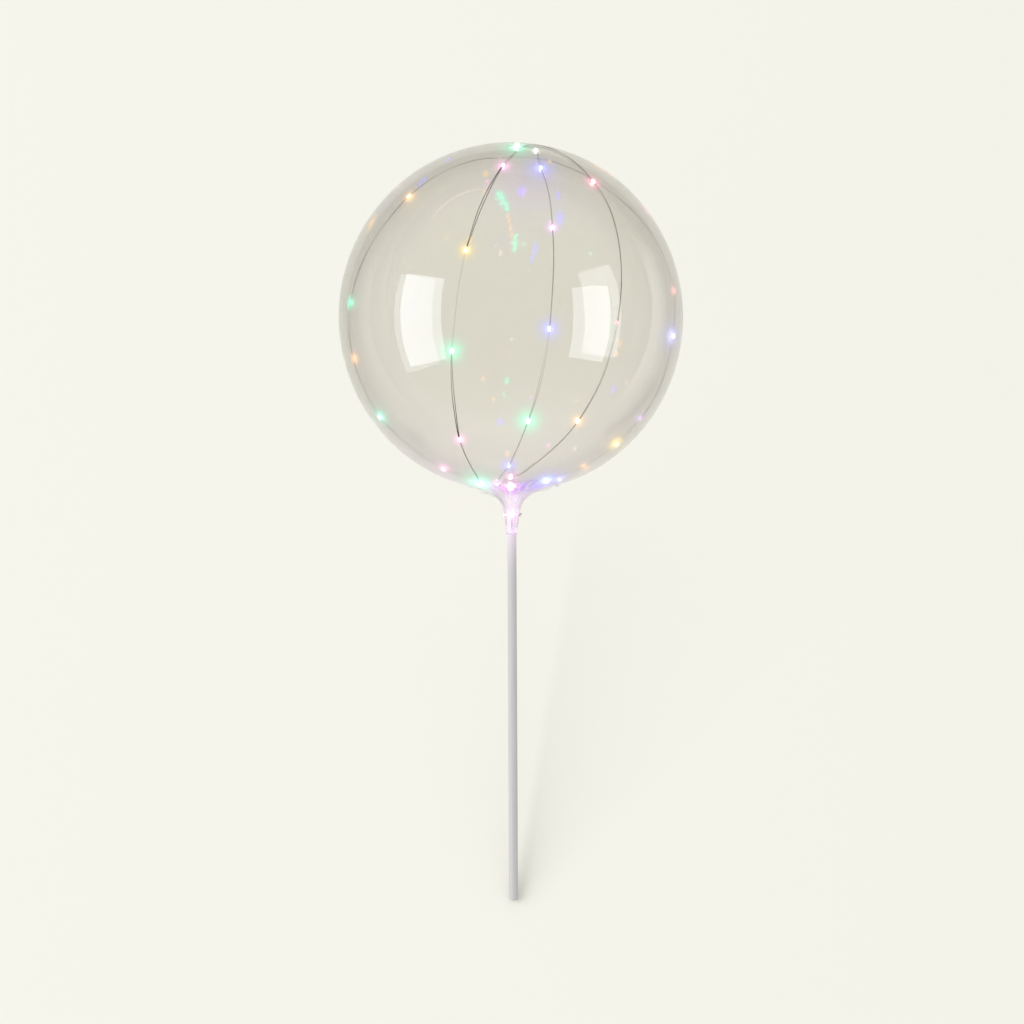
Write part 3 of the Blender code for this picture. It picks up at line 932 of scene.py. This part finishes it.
resin = {
    "length": 0.0044,
    "radius": 0.00130,
    "rings": 12,
    "sides": 14,
    "bright": 6.0,
    "faint": 1.1,
    "faintOnes": [4, 5, 7, 8, 9, 11, 13, 17],
    "roughness": 0.12,
    "ior": 1.45,
    "restThickness": 0.0015,    # a thicker drop stands out from the film
    "usual": (1.1, 1.15),
    # how much longer and thicker a drop is, by its light's number
    "sizes": {1: (1.4, 1.5), 2: (1.1, 1.35), 3: (1.2, 1.4), 4: (1.0, 1.2), 7: (0.6, 0.6),
              8: (0.7, 0.7), 10: (1.2, 1.5), 12: (1.1, 1.4), 13: (0.7, 0.7), 17: (0.7, 0.8),
              18: (1.2, 1.4), 19: (1.2, 1.35), 20: (1.3, 1.0), 21: (1.2, 1.5), 22: (1.4, 1.1),
              23: (1.4, 1.5), 24: (1.0, 1.0), 25: (1.4, 1.6), 26: (0.9, 0.9), 27: (0.8, 0.8),
              28: (1.3, 1.6), 29: (1.2, 1.1), 31: (1.2, 1.3), 32: (1.0, 1.2), 33: (1.2, 1.5)},
}


def lightMaterial(name, strength):
    look = lightLook[name]
    made, feed, place = newMaterial("%sLight%s" % (name, strength.title()),
                                    Roughness=resin["roughness"], IOR=resin["ior"],
                                    Emission_Strength=resin[strength])
    # white in the middle, coloured towards the edge
    facing = place.node("ShaderNodeLayerWeight", None, {"Blend": 0.5}, 1)
    edge = [c / resin[strength] for c in look["colour"]]
    core = [0.5 + 0.5 * c for c in look["colour"]]
    feed("Emission Color", facing.between(0.15, 0.65).mixed(rgba(core), rgba(edge)))
    grain = place.noise(900.0, 1.0)
    feed("Base Color", grain.mixed(rgba([0.2 * c for c in look["colour"]]),
                                   rgba([0.4 * c for c in look["colour"]])))
    return made


def resinDrop(number, centre, along, surface, light):
    outward = outwardAt(centre)
    across = along.cross(outward).normalized()
    points = []
    faces = []
    rings = resin["rings"]
    sides = resin["sides"]
    longer, thicker = resin["sizes"].get(number, resin["usual"])
    centre = centre + max(0.0, thicker * resin["radius"] - resin["restThickness"]) * outward
    for i in range(rings + 1):
        angle = -math.pi / 2 + math.pi * i / rings
        reach = longer * resin["length"] / 2 * math.sin(angle)
        radius = thicker * resin["radius"] * max(0.08, math.cos(angle) ** 0.75)
        radius *= 1 + 0.06 * math.sin(3.1 * number + 2.0 * i)
        for k in range(sides):
            turn = 2 * math.pi * k / sides
            points.append(centre + reach * along
                          + radius * (math.cos(turn) * across + math.sin(turn) * outward))
    for i in range(rings):
        for k in range(sides):
            a = i * sides + k
            b = i * sides + (k + 1) % sides
            faces.append((a, b, b + sides, a + sides))
    faces.append(tuple(range(sides))[::-1])
    last = rings * sides
    faces.append(tuple(range(last, last + sides)))
    made = meshObject("resinDrop%02d" % number, [tuple(p) for p in points], faces, surface)
    return ride(made, "light_" + light, "led_%02d" % number)


lightMaterials = {}
for number, (point, direction, light, distance) in enumerate(lights, start=1):
    kind = light, "faint" if number in resin["faintOnes"] else "bright"
    if kind not in lightMaterials:
        lightMaterials[kind] = lightMaterial(*kind)
    resinDrop(number, point, direction, lightMaterials[kind], light)
print("lights")


# stick

stick = {
    "radius": 0.0044,
    "top": 0.190,
    "topEdge": 0.0003,
    "edge": 0.0010,
    "rings": 40,
    "edgeRings": 6,
    "sides": 48,
    "colour": (0.53, 0.52, 0.515),
    "streak": (0.57, 0.56, 0.555),
    "roughness": 0.5,
    "glow": (0.34, 0.22, 0.38),    # from the lights in the neck
    "glowReach": 0.036,
}


def stickMaterial():
    made, feed, place = newMaterial("stickPlastic", Specular_IOR_Level=0.2, Emission_Strength=1.0)
    lit = bell(place.vector("DISTANCE", (0.0, 0.0, -stick["top"])), stick["glowReach"])
    feed("Emission Color", lit.mixed(black, rgba(stick["glow"])))
    drawn = place.vector("MULTIPLY", (1.0, 1.0, 0.02))
    streaks = drawn.noise(900.0, 3.0)
    feed("Base Color", streaks.between(0.3, 0.7).mixed(rgba(stick["colour"]),
                                                      rgba(stick["streak"])))
    feed("Roughness", stick["roughness"] + 0.12 * streaks)
    feed("Normal", streaks.bump(0.08, 0.0002))
    return made


def plainStick():
    radius = stick["radius"]
    edge = stick["edge"]
    topEdge = stick["topEdge"]
    outline = [(0.0, stick["top"]), (radius - topEdge, stick["top"]),
               (radius, stick["top"] + topEdge)]
    for i in range(1, stick["rings"]):
        outline.append((radius, stick["top"] + (tipDrop - stick["top"]) * i / stick["rings"]))
    for i in range(stick["edgeRings"] + 1):
        angle = math.pi / 2 * i / stick["edgeRings"]
        outline.append((radius - edge + edge * math.cos(angle),
                        tipDrop - edge + edge * math.sin(angle)))
    outline.append((0.0, tipDrop))
    return turned("plainStick", outline, stick["sides"], stickMaterial())


def turned(name, outline, sides, surface):
    # a turned piece from radius and drop, closed on the axis at both ends
    points = [(0.0, 0.0, -outline[0][1])]
    for radius, fall in outline[1:-1]:
        for k in range(sides):
            turn = 2 * math.pi * k / sides
            points.append((radius * math.sin(turn), -radius * math.cos(turn), -fall))
    points.append((0.0, 0.0, -outline[-1][1]))
    end = len(points) - 1
    faces = [(0, 1 + (k + 1) % sides, 1 + k) for k in range(sides)]
    rings = len(outline) - 2
    for i in range(rings - 1):
        for k in range(sides):
            a = 1 + i * sides + k
            b = 1 + i * sides + (k + 1) % sides
            faces.append((a, b, b + sides, a + sides))
    last = 1 + (rings - 1) * sides
    faces += [(end, last + k, last + (k + 1) % sides) for k in range(sides)]
    return meshObject(name, points, faces, surface)


ride(plainStick(), "stick", "stick")
print("stick")


# tie round the neck

tie = {
    "drop": 0.1922,
    "cordRadius": 0.00045,
    "gap": 0.0003,
    "pitch": 0.0011,
    "turns": 2,
    "steps": 60,
    "sides": 10,
    "start": 70.0,
    "loose": 0.0026,
}


def tieMaterial():
    made, feed, place = newMaterial("tieCord", Roughness=0.6, Emission_Strength=1.0)
    fibre = place.noise(2600.0, 2.0)
    # dark at the loose end; elsewhere painted lighter and given a painted glow, as lit by the
    # lights
    lit = place.vector("DOT_PRODUCT", (1.0, 0.0, 0.0)).between(0.0080, 0.0068)
    feed("Base Color", lit.mixed(fibre.mixed((0.13, 0.11, 0.13, 1.0), (0.24, 0.21, 0.24, 1.0)),
                                 fibre.mixed((0.60, 0.56, 0.60, 1.0), (0.80, 0.76, 0.80, 1.0))))
    feed("Emission Color", lit.mixed(black, (0.36, 0.34, 0.36, 1.0)))
    feed("Normal", fibre.bump(0.4, 0.0002))
    return made


def neckCord():
    topRadius = neckSurface(tie["drop"] - tie["pitch"] - tie["cordRadius"])[0]
    ringRadius = topRadius + tie["gap"] + tie["cordRadius"]
    points = []
    for i in range(tie["turns"] * tie["steps"] + 1):
        share = i / tie["steps"]
        point = ringRadius * around(tie["start"] + 360.0 * share)
        point.z = -tie["drop"] + tie["pitch"] * (share - tie["turns"] / 2)
        points.append(point)
    for end, neighbour in ((0, 1), (-1, -2)):
        away = (points[end] - points[neighbour]).normalized()
        loose = points[end] + tie["loose"] * (away + 0.5 * around(tie["start"])).normalized()
        if end == 0:
            points.insert(0, loose)
        else:
            points.append(loose)
    line, faces = tube(points, [tie["cordRadius"]] * len(points), tie["sides"])
    return ride(meshObject("neckCord", [tuple(p) for p in line], faces, tieMaterial()), "tie",
                "neck_tie")


neckCord()
print("tie")


# floor, light and camera

studio = {
    "floor": (0.878, 0.870, 0.796),
    "floorSize": 30.0,
    "sky": (0.79, 0.788, 0.782),
    "cameraDistance": 8.0,
    "viewWidth": 0.99425,
    "aimDrop": 0.18933,
    "aimRight": 0.00021,
    "roll": 0.26,
}

# Flat lights round the ball. across is the angle from the front to the light's middle; low, high
# and width are for each metre of distance. lit says what each one reaches: the boxes make the
# reflections on the film, and the broad one lights everything that isn't clear.
boxes = {
    "leftBox": {"across": -62.4, "low": -0.485, "high": 0.41, "width": 0.560, "distance": 5.0,
                "brightness": 4.9, "colour": (1.04, 1.10, 1.25), "lit": ("glossy",)},
    "rightBox": {"across": 55.2, "low": -0.475, "high": 0.295, "width": 0.492, "distance": 5.0,
                 "brightness": 4.6, "colour": (1.00, 1.04, 1.15), "lit": ("glossy",)},
    "farBox": {"across": -67.6, "low": -0.53, "high": 0.39, "width": 0.535, "distance": 3.0,
               "brightness": 3.0, "colour": (1.12, 1.14, 1.36), "lit": ("transmission",)},
    "broadBox": {"across": -52.0, "low": -0.25, "high": 0.55, "width": 0.8, "distance": 15.0,
                 "brightness": 2.4, "colour": (1.00, 1.00, 1.00), "lit": ("diffuse",)},
}


def floorMaterial():
    made, feed, place = newMaterial("paleFloor", Roughness=0.9)
    grain = place.noise(1.5, 2.0)
    low = [0.995 * c for c in studio["floor"]]
    feed("Base Color", grain.mixed(rgba(low), rgba(studio["floor"])))
    return made


half = studio["floorSize"] / 2
floor = meshObject("floor", [(-half, -half, 0.0), (half, -half, 0.0), (half, half, 0.0),
                             (-half, half, 0.0)], [(0, 1, 2, 3)], floorMaterial(), smooth=False)

right = Vector((1.0, 0.0, 0.0))
up = -down
front = right.cross(up)


def softBox(name, box):
    distance = box["distance"]
    turn = math.radians(box["across"])
    toward = math.sin(turn) * right + math.cos(turn) * front
    side = math.cos(turn) * right - math.sin(turn) * front
    light = bpy.data.lights.new(name, "AREA")
    light.shape = "RECTANGLE"
    light.size = box["width"] * distance
    light.size_y = (box["high"] - box["low"]) * distance
    light.color = box["colour"]
    light.energy = box["brightness"] * math.pi * light.size * light.size_y
    made = bpy.data.objects.new(name, light)
    bpy.context.scene.collection.objects.link(made)
    place = ballCentre + distance * (toward + (box["low"] + box["high"]) / 2 * up)
    made.matrix_world = Matrix.Translation(place) @ Matrix((side, up, toward)).transposed().to_4x4()
    made.visible_camera = False
    for kind in ("diffuse", "glossy", "transmission"):
        setattr(made, "visible_" + kind, kind in box["lit"])
    return made


for name, box in boxes.items():
    softBox(name, box)

world = bpy.data.worlds.new("sky")
world.use_nodes = True
bpy.context.scene.world = world
world.node_tree.nodes["Background"].inputs["Color"].default_value = rgba(studio["sky"])

aim = ballCentre + studio["aimDrop"] * down + studio["aimRight"] * right
lean = math.radians(studio["roll"])
cameraUp = math.cos(lean) * up + math.sin(lean) * right
cameraRight = cameraUp.cross(front)
camera = bpy.data.cameras.new("camera")
camera.sensor_width = 36.0
camera.lens = 36.0 * studio["cameraDistance"] / studio["viewWidth"]
camera.clip_end = 100.0
cameraObject = bpy.data.objects.new("camera", camera)
bpy.context.scene.collection.objects.link(cameraObject)
cameraObject.matrix_world = (Matrix.Translation(aim + studio["cameraDistance"] * front)
                             @ Matrix((cameraRight, cameraUp, front)).transposed().to_4x4())
bpy.context.scene.camera = cameraObject
bpy.context.scene.view_settings.view_transform = "Standard"
print("studio")
